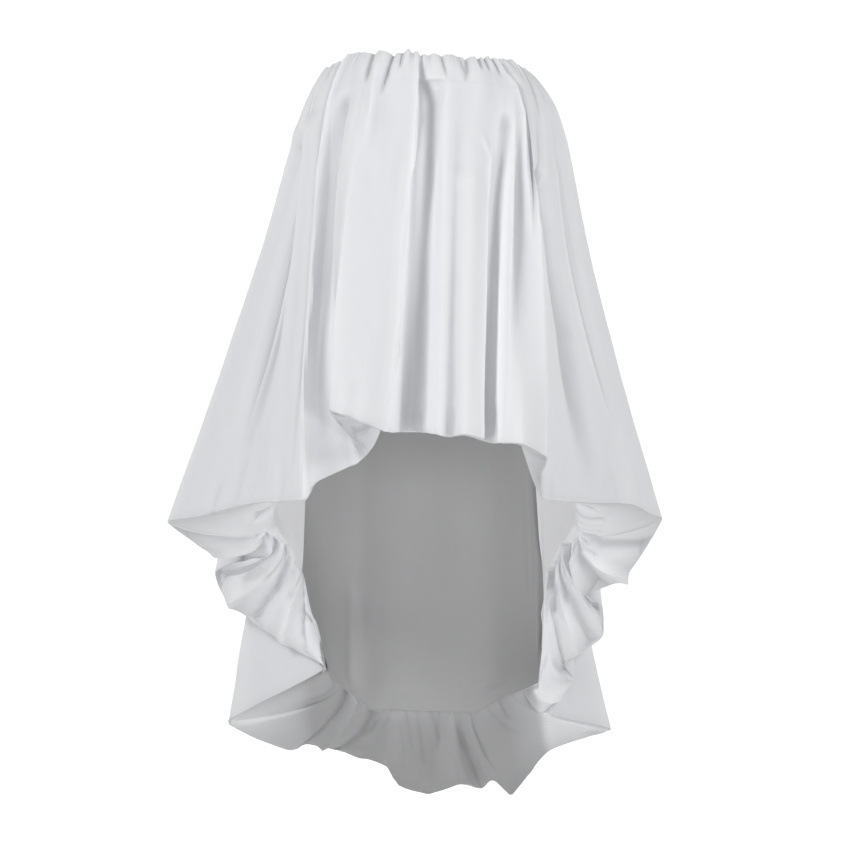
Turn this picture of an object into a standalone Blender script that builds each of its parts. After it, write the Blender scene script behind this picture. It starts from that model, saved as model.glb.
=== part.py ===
"""Strapless high-low top with a bubble hem, hollow, in the shape that it has when worn.

Metres, +Z up, the front faces -Y. Left and right are as seen from the front.
The origin is at the middle of the elastic neckline, which holds the top up.

The cloth of the shell hangs from the gathered neckline to the hem fold, turns
under there, and runs up inside to the lower edge of the lining, where it is
gathered again. Both panels are worked out from FOLDS: each row is one fold
line that runs from the neckline to the hem.
"""

import math
from collections import namedtuple

import bmesh
import bpy
from mathutils import Vector

# Neckline, an ellipse round the top of the bust
NECK_HALF_WIDTH = 0.139
NECK_HALF_DEPTH = 0.112
NECK_SIDE_DIP = 0.008
FRILL_HEIGHT = 0.007
CASING_HEIGHT = 0.028
CASING_THICKNESS = 0.0022

# Cloth walls and the gaps between pieces
SHELL_WALL = 0.0015
LINING_WALL = 0.0012
SEAM_GAP = 0.0004

# Lining: a slip that widens from the neckline to its lower edge
LINING_HALF_WIDTH = 0.205
LINING_FRONT_DEPTH = 0.126
LINING_BACK_DEPTH = 0.172
LINING_LEFT_SEAM_TURN = -122
LINING_RIGHT_SEAM_TURN = 126
LINING_SEAM_TRIM_TURN = 0.1
LINING_BOW = 0.012

# Points of the casing ring nearer than this are one point
SAME_POINT = 0.00005

# Shape of the hanging cloth
SHOULDER_PUFF = 0.014
SHOULDER_PUFF_AT = 0.09
RIGHT_PUFF = 0.019
RIGHT_PUFF_AT = 0.19
HEM_ROLL = 0.020
HEM_TURN = 0.008
FACING_SAG = 0.035

# How far along the hem, in u, its direction is measured
HEM_STEP = 0.01

# Gathers on the neckline elastic and where the turned-up hem joins the lining
NECK_GATHERS = 44
NECK_GATHER_DEPTH = 0.0032
NECK_GATHER_REACH = 0.11
SEAM_GATHERS = 52
SEAM_GATHER_DEPTH = 0.003
SEAM_GATHER_REACH = 0.35

CLOTH_ROUGHNESS = 0.75
COLOURS = {
    "shell": (0.86, 0.87, 0.89, 1.0),
    "lining_front": (0.86, 0.87, 0.89, 1.0),
    "lining_back": (0.45, 0.45, 0.46, 1.0),
    "casing": (0.84, 0.85, 0.87, 1.0),
}

EdgeStep = namedtuple("EdgeStep", "turn drop soft")
# Lower edge of the lining: degrees round, how far it hangs, and how rounded the step after it is
LINING_EDGE = (
    EdgeStep(-180, 0.900, 0.5),
    EdgeStep(-160, 0.895, 0.1),
    EdgeStep(-140, 0.850, 0.1),
    EdgeStep(-130, 0.760, 0.1),
    EdgeStep(-122, 0.690, 0.1),
    EdgeStep(-112, 0.650, 0.2),
    EdgeStep(-90, 0.615, 0.1),
    EdgeStep(-70, 0.560, 0.2),
    EdgeStep(-45, 0.470, 1.0),
    EdgeStep(0, 0.430, 1.0),
    EdgeStep(45, 0.470, 0.2),
    EdgeStep(70, 0.560, 0.1),
    EdgeStep(90, 0.615, 0.2),
    EdgeStep(112, 0.650, 0.1),
    EdgeStep(123, 0.690, 0.1),
    EdgeStep(127, 0.780, 0.1),
    EdgeStep(131, 0.845, 0.1),
    EdgeStep(144, 0.872, 0.1),
    EdgeStep(160, 0.900, 0.5),
    EdgeStep(180, 0.900, 1.0),
)

Fold = namedtuple("Fold", "name turn across depth drop soft mid seat", defaults=(1.0, None, None))
# name    what the fold line is
# turn    degrees round the neckline where it starts, 0 at the front, 90 at the right
# across  x of its hem point
# depth   y of its hem point, negative in front
# drop    how far its hem point hangs below the neckline
# soft    1 for a round fold, 0.2 for a crisp one
# mid     (x, y) halfway down, where it isn't straight
# seat    degrees round the lining where its turned-up hem is sewn, where that isn't straight in from the hem
FOLDS = (
    Fold("left_seam", -92, -0.308, -0.020, 0.608),
    Fold("left_hollow", -69, -0.231, -0.088, 0.588, 1.0),
    Fold("left_ridge", -51, -0.152, -0.200, 0.578, 0.35, (-0.149, -0.146), -40),
    Fold("left_ridge_turn", -48, -0.137, -0.194, 0.556, 0.6, (-0.134, -0.150), -35),
    Fold("left_tuck", -38, -0.079, -0.172, 0.525, 0.4, (-0.119, -0.163), -13.5),
    Fold("left_pleat_edge", -27, -0.121, -0.234, 0.466, 0.4, (-0.104, -0.176), -11),
    Fold("left_pleat", -17, -0.082, -0.248, 0.479, 1.0, None, -9),
    Fold("left_pleat_lip", -3, -0.049, -0.235, 0.492, 0.3, (-0.023, -0.176), -7),
    Fold("centre_tuck", -1, -0.030, -0.176, 0.493, 0.4, (-0.018, -0.148), -5.5),
    Fold("centre_recess", 4, -0.010, -0.178, 0.493, 0.7, None, -3),
    Fold("centre_rise", 12, 0.014, -0.224, 0.495, 0.8),
    Fold("centre_dip", 18, 0.030, -0.222, 0.499, 0.8),
    Fold("centre_crest", 27, 0.050, -0.236, 0.495, 1.0),
    Fold("centre_lip", 36, 0.074, -0.224, 0.501, 0.3),
    Fold("right_tuck", 38, 0.073, -0.190, 0.504, 0.4, (0.080, -0.148)),
    Fold("right_recess", 43, 0.084, -0.193, 0.507, 0.5, (0.090, -0.148)),
    Fold("right_rise", 47, 0.097, -0.226, 0.506, 0.5, (0.108, -0.164)),
    Fold("right_pleat", 50, 0.124, -0.234, 0.508, 1.0),
    Fold("right_lip", 53, 0.156, -0.204, 0.527, 0.35, (0.147, -0.153)),
    Fold("right_pinch", 58, 0.142, -0.166, 0.549, 0.4, (0.143, -0.130)),
    Fold("right_ridge", 63, 0.154, -0.156, 0.579, 0.5, (0.152, -0.122)),
    Fold("right_hollow", 72, 0.225, -0.082, 0.587, 1.0),
    Fold("right_corner", 84, 0.279, -0.040, 0.591, 0.7),
    Fold("right_seam", 92, 0.307, -0.010, 0.605),
    Fold("right_tip", 97, 0.328, 0.030, 0.615, 0.4),
    Fold("right_flute", 103, 0.281, 0.085, 0.699, 0.8),
    Fold("right_valley", 110, 0.228, 0.118, 0.726, 0.5, (0.192, 0.095)),
    Fold("right_puff_top", 113, 0.252, 0.136, 0.742, 0.6, (0.200, 0.100)),
    Fold("right_puff", 117, 0.256, 0.152, 0.789, 0.6, (0.202, 0.108)),
    Fold("right_fall", 124, 0.202, 0.138, 0.829, 0.6, (0.188, 0.106)),
    Fold("right_curl", 130, 0.214, 0.152, 0.852, 0.8, (0.184, 0.117)),
    Fold("right_inner", 136, 0.176, 0.142, 0.896, 0.7, (0.168, 0.124), 135),
    Fold("right_back_tip", 144, 0.275, 0.212, 0.932, 0.4, (0.170, 0.145), 138),
    Fold("right_back_valley", 152, 0.186, 0.232, 0.966, 0.7),
    Fold("back_right_crest", 160, 0.132, 0.302, 1.043, 0.7),
    Fold("back_right_notch", 166, 0.102, 0.264, 1.016, 0.7),
    Fold("back_middle_right", 172, 0.086, 0.310, 1.037, 0.9),
    Fold("back_notch", 177, 0.054, 0.256, 1.021, 0.6),
    Fold("back_centre", 184, 0.008, 0.318, 1.045, 1.0),
    Fold("back_middle_left", 191, -0.040, 0.296, 1.030, 0.7),
    Fold("back_left_step", 195, -0.060, 0.244, 0.990, 0.6),
    Fold("back_left_crest", 204, -0.122, 0.300, 0.980, 1.0),
    Fold("left_back_valley", 212, -0.176, 0.232, 0.957, 0.5),
    Fold("left_back_rise", 217, -0.206, 0.250, 0.968, 0.8),
    Fold("left_back_tip", 223, -0.291, 0.204, 0.920, 0.4, (-0.200, 0.140), 216),
    Fold("left_inner", 233, -0.142, 0.116, 0.830, 0.4, (-0.176, 0.118), 226),
    Fold("left_fall", 240, -0.214, 0.136, 0.790, 0.8, (-0.198, 0.108), 230.5),
    Fold("left_puff", 247, -0.288, 0.158, 0.735, 0.8, (-0.214, 0.106)),
    Fold("left_puff_back", 251, -0.302, 0.146, 0.695, 0.7, (-0.222, 0.096)),
    Fold("left_valley", 255, -0.262, 0.110, 0.674, 0.5, (-0.208, 0.078)),
    Fold("left_flute", 260, -0.303, 0.078, 0.662, 0.6),
    Fold("left_tip", 265, -0.358, 0.030, 0.618, 0.4),
    Fold("left_seam", 268, -0.308, -0.020, 0.608),
)


def neck_point(turn, inset=0.0, z=0.0):
    """A point of the neckline ellipse, or of one drawn in by inset."""
    a = math.radians(turn)
    x = (NECK_HALF_WIDTH - inset) * math.sin(a)
    y = -(NECK_HALF_DEPTH - inset) * math.cos(a)
    return Vector((x, y, z - NECK_SIDE_DIP * math.sin(a) ** 2))


def away(turn):
    """The level direction that faces out of the neckline there."""
    a = math.radians(turn)
    x = math.sin(a) / NECK_HALF_WIDTH
    y = -math.cos(a) / NECK_HALF_DEPTH
    return Vector((x, y, 0.0)).normalized()


def lining_drop(turn):
    """How far the lower edge of the lining hangs below the neckline."""
    level_turn = (turn + 180) % 360 - 180
    for low, high in zip(LINING_EDGE, LINING_EDGE[1:]):
        if level_turn <= high.turn:
            break
    t = (level_turn - low.turn) / (high.turn - low.turn)
    t = t * t * (3 - 2 * t) * low.soft + t * (1 - low.soft)
    return low.drop + (high.drop - low.drop) * t


def lining_hem(turn):
    """A point of the lining's lower edge, where the turned-up hem is sewn on."""
    a = math.radians(turn)
    back = (1 - math.cos(a)) / 2
    depth = LINING_FRONT_DEPTH + (LINING_BACK_DEPTH - LINING_FRONT_DEPTH) * back
    return Vector((LINING_HALF_WIDTH * math.sin(a), -depth * math.cos(a), -lining_drop(turn)))


def halfway(fold):
    """The point of a fold line halfway down."""
    hem = Vector((fold.across, fold.depth, -fold.drop))
    middle = (neck_point(fold.turn) + hem) / 2
    if fold.mid:
        middle.x, middle.y = fold.mid
    return middle


def seat(fold):
    """Degrees round the lining where the turned-up hem of a fold is sewn, in the same full turn as its start."""
    if fold.seat is not None:
        return fold.seat
    back = (1 - math.cos(math.radians(fold.turn))) / 2
    depth = LINING_FRONT_DEPTH + (LINING_BACK_DEPTH - LINING_FRONT_DEPTH) * back
    a = math.degrees(math.atan2(fold.across / LINING_HALF_WIDTH, -fold.depth / depth))
    return a + 360 * round((fold.turn - a) / 360)


class Line:
    """What runs round the garment: turn, middle and hem of every fold line, as smooth curves of u."""

    def __init__(self, folds):
        self.rows = [
            (f.turn, *halfway(f), f.across, f.depth, -f.drop, seat(f)) for f in folds
        ]
        self.soft = [f.soft for f in folds]
        self.u = [0.0]
        for a, b in zip(self.rows, self.rows[1:]):
            self.u.append(self.u[-1] + math.dist(a[4:7], b[4:7]) ** 0.5)

    def slope(self, i, column):
        low, high = max(i - 1, 0), min(i + 1, len(self.rows) - 1)
        rise = self.rows[high][column] - self.rows[low][column]
        return self.soft[i] * rise / (self.u[high] - self.u[low])

    def at(self, u):
        """(turn, middle, hem, seat) at u."""
        i = max(k for k in range(len(self.u) - 1) if self.u[k] <= u or k == 0)
        step = self.u[i + 1] - self.u[i]
        t = (u - self.u[i]) / step
        out = []
        for column in range(8):
            p, q = self.rows[i][column], self.rows[i + 1][column]
            m, n = self.slope(i, column) * step, self.slope(i + 1, column) * step
            out.append(
                p * (2 * t**3 - 3 * t**2 + 1)
                + m * (t**3 - 2 * t**2 + t)
                + q * (3 * t**2 - 2 * t**3)
                + n * (t**3 - t**2)
            )
        return out[0], Vector(out[1:4]), Vector(out[4:7]), out[7]


def gather(turn, count, depth):
    """How far a gathered edge stands out there: uneven waves, never inwards."""
    a = math.radians(turn)
    uneven = 0.9 * math.sin(3 * a + 0.6) + 0.7 * math.sin(7 * a + 2.1)
    return depth * (0.5 + 0.5 * math.cos(count * a + uneven)) * (0.8 + 0.2 * math.sin(5 * a))


def hem_inwards(line, u, fall):
    """The direction into the garment from the hem fold, square to the cloth there."""
    before = line.at(max(u - HEM_STEP, line.u[0]))[2]
    after = line.at(min(u + HEM_STEP, line.u[-1]))[2]
    return (after - before).cross(fall).normalized()


def shell_point(line, u, v):
    """A point of the shell's right side: v is 0 at the neckline, 1 at the hem fold, 2 at the lining."""
    turn, middle, hem, sewn_turn = line.at(u)
    top = neck_point(turn, z=FRILL_HEIGHT)
    if v <= 1:
        point = top * (1 - v) * (1 - 2 * v) + middle * 4 * v * (1 - v) + hem * v * (2 * v - 1)
        puff = SHOULDER_PUFF * v / SHOULDER_PUFF_AT * math.exp(1 - v / SHOULDER_PUFF_AT)
        right = RIGHT_PUFF * max(0.0, math.sin(math.radians(turn))) ** 2
        puff += right * v / RIGHT_PUFF_AT * math.exp(1 - v / RIGHT_PUFF_AT)
        puff += gather(turn, NECK_GATHERS, NECK_GATHER_DEPTH) * math.exp(-v / NECK_GATHER_REACH)
        return point + away(turn) * puff
    w = v - 1
    fall = (top - 4 * middle + 3 * hem).normalized()
    sewn = lining_hem(sewn_turn) + away(sewn_turn) * (SEAM_GATHER_DEPTH + SEAM_GAP)
    below = sewn - Vector((0, 0, FACING_SAG))
    inwards = hem_inwards(line, u, fall)
    turned = hem + fall * HEM_ROLL + inwards * HEM_TURN
    point = (
        hem * (1 - w) ** 3
        + turned * 3 * w * (1 - w) ** 2
        + below * 3 * w**2 * (1 - w)
        + sewn * w**3
    )
    wave = gather(sewn_turn, SEAM_GATHERS, SEAM_GATHER_DEPTH) * math.exp(-(1 - w) / SEAM_GATHER_REACH)
    return point - away(sewn_turn) * wave


def lining_point(turn, v):
    """A point of the lining's outer side: v is 0 at the top edge and 1 at its lower edge."""
    top = neck_point(turn, SHELL_WALL + SEAM_GAP, -CASING_HEIGHT - SEAM_GAP)
    hem = lining_hem(turn)
    bow = LINING_BOW * math.sin(math.pi * v)
    return top.lerp(hem, v) + away(turn) * bow


def new_material(name, colour):
    material = bpy.data.materials.new(name)
    material.use_nodes = True
    shader = material.node_tree.nodes["Principled BSDF"]
    shader.inputs["Base Color"].default_value = colour
    shader.inputs["Roughness"].default_value = CLOTH_ROUGHNESS
    shader.inputs["Metallic"].default_value = 0.0
    return material


def cloth(name, collection, material, columns, rows, place, wall, inwards):
    """A flat sheet of columns by rows, moved point by point to its place, with a wall behind it."""
    mesh = bmesh.new()
    bmesh.ops.create_grid(mesh, x_segments=len(columns) - 1, y_segments=len(rows) - 1, size=0.5)
    for point in mesh.verts:
        column = round((point.co.x + 0.5) * (len(columns) - 1))
        row = round((point.co.y + 0.5) * (len(rows) - 1))
        point.co = place(columns[column], rows[row])
    bmesh.ops.reverse_faces(mesh, faces=mesh.faces[:])
    data = bpy.data.meshes.new(name)
    mesh.to_mesh(data)
    mesh.free()
    data.materials.append(material)
    piece = bpy.data.objects.new(name, data)
    collection.objects.link(piece)
    solidify = piece.modifiers.new("wall", "SOLIDIFY")
    solidify.thickness = wall
    solidify.offset = -1 if inwards else 1
    data.shade_smooth()
    return piece


def spread(start, end, count):
    return [start + (end - start) * i / (count - 1) for i in range(count)]


FRONT_COLUMNS = 88
BACK_COLUMNS = 100
LINING_FRONT_COLUMNS = 31
LINING_BACK_COLUMNS = 21
LINING_ROWS = 9
CASING_COLUMNS = 73
OUTER_ROWS = (0.0, 0.035, 0.09, 0.17, 0.28, 0.42, 0.58, 0.74, 0.88, 1.0)
FACING_ROWS = (1.06, 1.14, 1.3, 1.55, 1.8, 2.0)


def shell_panel(name, collection, material, line, start, end, count):
    """One panel of the shell, between the fold lines that are its side seams."""
    columns = spread(line.u[start], line.u[end], count)
    rows = OUTER_ROWS + FACING_ROWS
    beside = {columns[0]: columns[1], columns[-1]: columns[-2]}

    def place(u, v):
        point = shell_point(line, u, v)
        if u not in beside:
            return point
        inwards = shell_point(line, beside[u], v) - point
        return point + inwards.normalized() * SEAM_GAP / 2

    return cloth(name, collection, material, columns, rows, place, SHELL_WALL, True)


def lining_panel(name, collection, material, start, end, count):
    columns = spread(start, end, count)
    rows = spread(0.0, 1.0, LINING_ROWS)
    return cloth(name, collection, material, columns, rows, lining_point, LINING_WALL, True)


def neck_casing(collection, material):
    """The elastic in its casing, a plain ring inside the neckline."""
    columns = spread(0.0, 360.0, CASING_COLUMNS)
    rows = (0.0, 1.0)

    def place(turn, v):
        return neck_point(turn, SHELL_WALL + SEAM_GAP, -v * CASING_HEIGHT)

    ring = cloth("neck_casing", collection, material, columns, rows, place, CASING_THICKNESS, True)
    weld = ring.modifiers.new("join", "WELD")
    weld.merge_threshold = SAME_POINT
    ring.modifiers.move(1, 0)
    return ring


def main():
    for old in list(bpy.data.objects):
        bpy.data.objects.remove(old, do_unlink=True)
    collection = bpy.data.collections.new("bubble_hem_top")
    bpy.context.scene.collection.children.link(collection)
    paint = {name: new_material(name, colour) for name, colour in COLOURS.items()}

    line = Line(FOLDS)
    names = [f.name for f in FOLDS]
    side = names.index("right_seam")
    last = len(names) - 1
    shell_panel("shell_front", collection, paint["shell"], line, 0, side, FRONT_COLUMNS)
    shell_panel("shell_back", collection, paint["shell"], line, side, last, BACK_COLUMNS)

    left = LINING_LEFT_SEAM_TURN
    right = LINING_RIGHT_SEAM_TURN
    trim = LINING_SEAM_TRIM_TURN
    front_paint = paint["lining_front"]
    back_paint = paint["lining_back"]
    lining_panel("lining_front", collection, front_paint, left + trim, right - trim, LINING_FRONT_COLUMNS)
    lining_panel("lining_back", collection, back_paint, right + trim, 360 + left - trim, LINING_BACK_COLUMNS)
    neck_casing(collection, paint["casing"])


main()
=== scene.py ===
# %% [markdown]
# A strapless top with a bubble hem, as it hangs when worn. The shell is one wide sheet of crisp white
# cloth: gathered onto elastic at the neckline, flared to the hem, turned under there and gathered once
# more onto the lower edge of an inner slip. The front is short and the back is long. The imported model
# gives the place and the size of every piece, so this script only adds the cloth that shows.

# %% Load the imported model
import math
import random
from collections import namedtuple

import bmesh
import bpy
import numpy as np
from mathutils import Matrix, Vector, noise


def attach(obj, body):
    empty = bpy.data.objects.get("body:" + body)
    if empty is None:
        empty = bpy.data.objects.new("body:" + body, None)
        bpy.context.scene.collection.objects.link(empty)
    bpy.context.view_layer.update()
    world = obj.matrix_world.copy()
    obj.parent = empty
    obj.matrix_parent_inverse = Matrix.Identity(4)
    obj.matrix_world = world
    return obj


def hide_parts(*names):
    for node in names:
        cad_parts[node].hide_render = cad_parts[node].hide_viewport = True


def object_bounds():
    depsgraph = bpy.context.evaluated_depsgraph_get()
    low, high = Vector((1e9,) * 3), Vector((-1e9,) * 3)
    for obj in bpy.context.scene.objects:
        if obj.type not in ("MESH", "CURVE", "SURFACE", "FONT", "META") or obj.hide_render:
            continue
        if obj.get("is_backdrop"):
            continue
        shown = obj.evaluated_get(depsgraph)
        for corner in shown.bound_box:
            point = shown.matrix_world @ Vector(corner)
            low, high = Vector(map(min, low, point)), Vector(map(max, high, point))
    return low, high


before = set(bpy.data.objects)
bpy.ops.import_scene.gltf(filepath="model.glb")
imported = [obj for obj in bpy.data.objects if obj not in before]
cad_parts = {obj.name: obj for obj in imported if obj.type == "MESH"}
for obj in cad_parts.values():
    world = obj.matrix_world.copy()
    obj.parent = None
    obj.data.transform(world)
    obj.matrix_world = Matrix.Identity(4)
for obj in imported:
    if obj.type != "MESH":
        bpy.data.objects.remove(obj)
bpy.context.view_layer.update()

# %% [markdown]
# The photograph was taken level with the middle of the garment and from a few steps away. Setting the
# camera first lets every later render be laid beside it.

# %% Camera
LOOK_AT = Vector((0.0, 0.0, -0.484))
CAMERA_DISTANCE = 2.8
FRAME_WIDTH = 850 / 730
SENSOR_WIDTH = 36.0


def add_object(name, data):
    made = bpy.data.objects.new(name, data)
    bpy.context.scene.collection.objects.link(made)
    return made


camera_data = bpy.data.cameras.new("camera")
camera_data.sensor_width = SENSOR_WIDTH
camera_data.lens = SENSOR_WIDTH * CAMERA_DISTANCE / FRAME_WIDTH
camera = add_object("camera", camera_data)
camera.location = LOOK_AT + Vector((0.0, -CAMERA_DISTANCE, 0.0))
camera.rotation_euler = (math.radians(90), 0.0, 0.0)
bpy.context.scene.camera = camera
print("lens", round(camera_data.lens, 1), "mm")

# %% [markdown]
# Shader maths reads best as plain arithmetic. Value wraps one number socket, so that an expression
# such as 1 - mask adds its own Math nodes, and Shading adds every other kind of node.

# %% Helpers for materials
BLACK = (0.0, 0.0, 0.0, 1.0)
WHITE = (1.0, 1.0, 1.0, 1.0)


class Value:
    """A number socket that arithmetic can be written on."""

    def __init__(self, shading, socket):
        self.shading = shading
        self.socket = socket

    def join(self, operation, *others):
        node = self.shading.tree.nodes.new("ShaderNodeMath")
        node.operation = operation
        for place, other in zip(node.inputs, others):
            self.shading.feed(place, other)
        return Value(self.shading, node.outputs[0])

    def __add__(self, other):
        return self.join("ADD", self, other)

    def __radd__(self, other):
        return self.join("ADD", other, self)

    def __sub__(self, other):
        return self.join("SUBTRACT", self, other)

    def __rsub__(self, other):
        return self.join("SUBTRACT", other, self)

    def __mul__(self, other):
        return self.join("MULTIPLY", self, other)

    def __rmul__(self, other):
        return self.join("MULTIPLY", other, self)

    def sine(self):
        return self.join("SINE", self)


class Shading:
    """The node tree of one material."""

    def __init__(self, name):
        self.material = bpy.data.materials.new(name)
        self.material.use_nodes = True
        self.tree = self.material.node_tree
        self.shader = self.tree.nodes["Principled BSDF"]

    def feed(self, place, source):
        if isinstance(source, Value):
            self.tree.links.new(source.socket, place)
        elif isinstance(source, bpy.types.NodeSocket):
            self.tree.links.new(source, place)
        else:
            place.default_value = source

    def node(self, kind, settings=None, **sockets):
        made = self.tree.nodes.new(kind)
        for key, value in (settings or {}).items():
            setattr(made, key, value)
        for key, source in sockets.items():
            self.feed(made.inputs[key.replace("_", " ")], source)
        return made

    def number(self, node, output):
        return Value(self, node.outputs[output])

    def mark(self, name):
        """A number that the mesh keeps at each of its points."""
        return self.number(self.node("ShaderNodeAttribute", {"attribute_name": name}), "Fac")

    def mix(self, share, first, second):
        """Goes from the first colour to the second one as the share goes from 0 to 1."""
        made = self.tree.nodes.new("ShaderNodeMix")
        made.data_type = "RGBA"
        self.feed(made.inputs["Factor"], share)
        self.feed(made.inputs[6], first)
        self.feed(made.inputs[7], second)
        return made.outputs[2]

    def set(self, **sockets):
        for key, source in sockets.items():
            self.feed(self.shader.inputs[key.replace("_", " ")], source)


print("helpers ready")

# %% [markdown]
# A product picture on white has broad, soft light. Two lamps stand high at the sides, two low ones light the
# underside of the hem, and one hangs above. The paper behind the garment glows, so that it reads as white, but
# the floor in front hardly does, which keeps the inside of the garment grey.

# %% Lights, floor and backdrop
Lamp = namedtuple("Lamp", "name place size power")
LAMPS = (
    Lamp("key", (-2.4, -1.9, 1.5), 0.8, 42),
    Lamp("fill", (2.5, -1.9, 1.3), 0.9, 35.5),
    Lamp("top", (0, -1.4, 2.2), 1.4, 8.5),
    Lamp("low_left", (-1.9, -2, -1.15), 1, 15.5),
    Lamp("low_right", (1.9, -2, -1.15), 1, 15.5),
)
FLOOR_LEVEL = -1.50
FLOOR_HALF = 9.0
SWEEP_START = 2.6
SWEEP_RADIUS = 2.4
PAPER_GREY = (0.5, 0.5, 0.5, 1.0)
PAPER_GLOW = 0.9
FLOOR_GLOW = (0.2, 0.2, 0.2, 1.0)
GLOW_FROM = 0.2
GLOW_FULL = 1.2
SKY = (0.94, 0.97, 1.0, 1.0)
SKY_STRENGTH = 0.2


def add_lamp(lamp):
    data = bpy.data.lights.new(lamp.name, "AREA")
    data.energy = lamp.power
    data.size = lamp.size
    piece = add_object(lamp.name, data)
    piece.location = lamp.place
    piece.rotation_euler = (LOOK_AT - Vector(lamp.place)).to_track_quat("-Z", "Y").to_euler()


def sweep_place(x, y):
    """The floor as far as the sweep, then a quarter turn, then the wall."""
    over = y - SWEEP_START
    quarter = SWEEP_RADIUS * math.pi / 2
    if over <= 0:
        return Vector((x, y, FLOOR_LEVEL))
    if over <= quarter:
        a = over / SWEEP_RADIUS
        rise = SWEEP_RADIUS * (1 - math.cos(a))
        return Vector((x, SWEEP_START + SWEEP_RADIUS * math.sin(a), FLOOR_LEVEL + rise))
    return Vector((x, SWEEP_START + SWEEP_RADIUS, FLOOR_LEVEL + SWEEP_RADIUS + over - quarter))


for lamp in LAMPS:
    add_lamp(lamp)

mesh = bmesh.new()
bmesh.ops.create_grid(mesh, x_segments=4, y_segments=60, size=FLOOR_HALF)
for point in mesh.verts:
    point.co = sweep_place(point.co.x, point.co.y)
data = bpy.data.meshes.new("backdrop")
mesh.to_mesh(data)
mesh.free()
data.shade_smooth()
backdrop = add_object("backdrop", data)
backdrop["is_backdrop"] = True

paper = Shading("white_paper")
space = paper.node("ShaderNodeTexCoord")
parts = paper.node("ShaderNodeSeparateXYZ", Vector=space.outputs["Object"])
ramp = paper.node("ShaderNodeMapRange", Value=parts.outputs["Y"], From_Min=GLOW_FROM, From_Max=GLOW_FULL)
paper.set(Base_Color=PAPER_GREY, Roughness=0.9, Emission_Strength=PAPER_GLOW)
paper.set(Emission_Color=paper.mix(ramp.outputs["Result"], FLOOR_GLOW, WHITE))
backdrop.data.materials.append(paper.material)

world = bpy.data.worlds.new("studio")
bpy.context.scene.world = world
world.use_nodes = True
sky = world.node_tree.nodes["Background"]
sky.inputs["Color"].default_value = SKY
sky.inputs["Strength"].default_value = SKY_STRENGTH
bpy.context.scene.view_settings.view_transform = "Standard"
print("lamps", len(LAMPS))

# %% [markdown]
# The shell is a crisp, closely woven cotton with a faint sheen. Up close it shows fine threads and the
# odd thicker yarn, from further off only a soft crumple. The weave is laid on a UV map measured in
# metres of flat cloth, so it follows the folds as real threads do. The lining is a duller cloth.

# %% Cloth finishes
THREAD = 0.00042
YARN_SCALE = (900.0, 22.0, 1.0)
SLUB_SCALE = (30.0, 900.0, 1.0)
CRUMPLE_SCALE = 22.0
CLOUD_SCALE = 6.0
YARN_SHARE = 0.6
MOTTLE_DARKER = 0.07
CLOUD_MOTTLE = 0.5
THREAD_MOTTLE = 0.35
# Painted shade in hollows, painted highlight on ridges, and a painted glow for light through the cloth
PAINTED_SHADE_DARKER = 0.22
PAINTED_HIGHLIGHT_PALER = 0.4
PAINTED_GLOW_STRENGTH = 0.11
ROUGHNESS_SPREAD = 0.12
WEAVE_STRENGTH = 0.5
CRUMPLE_STRENGTH = 0.6
SHEEN_ROUGHNESS = 0.45
SPECULAR = 0.35


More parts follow.
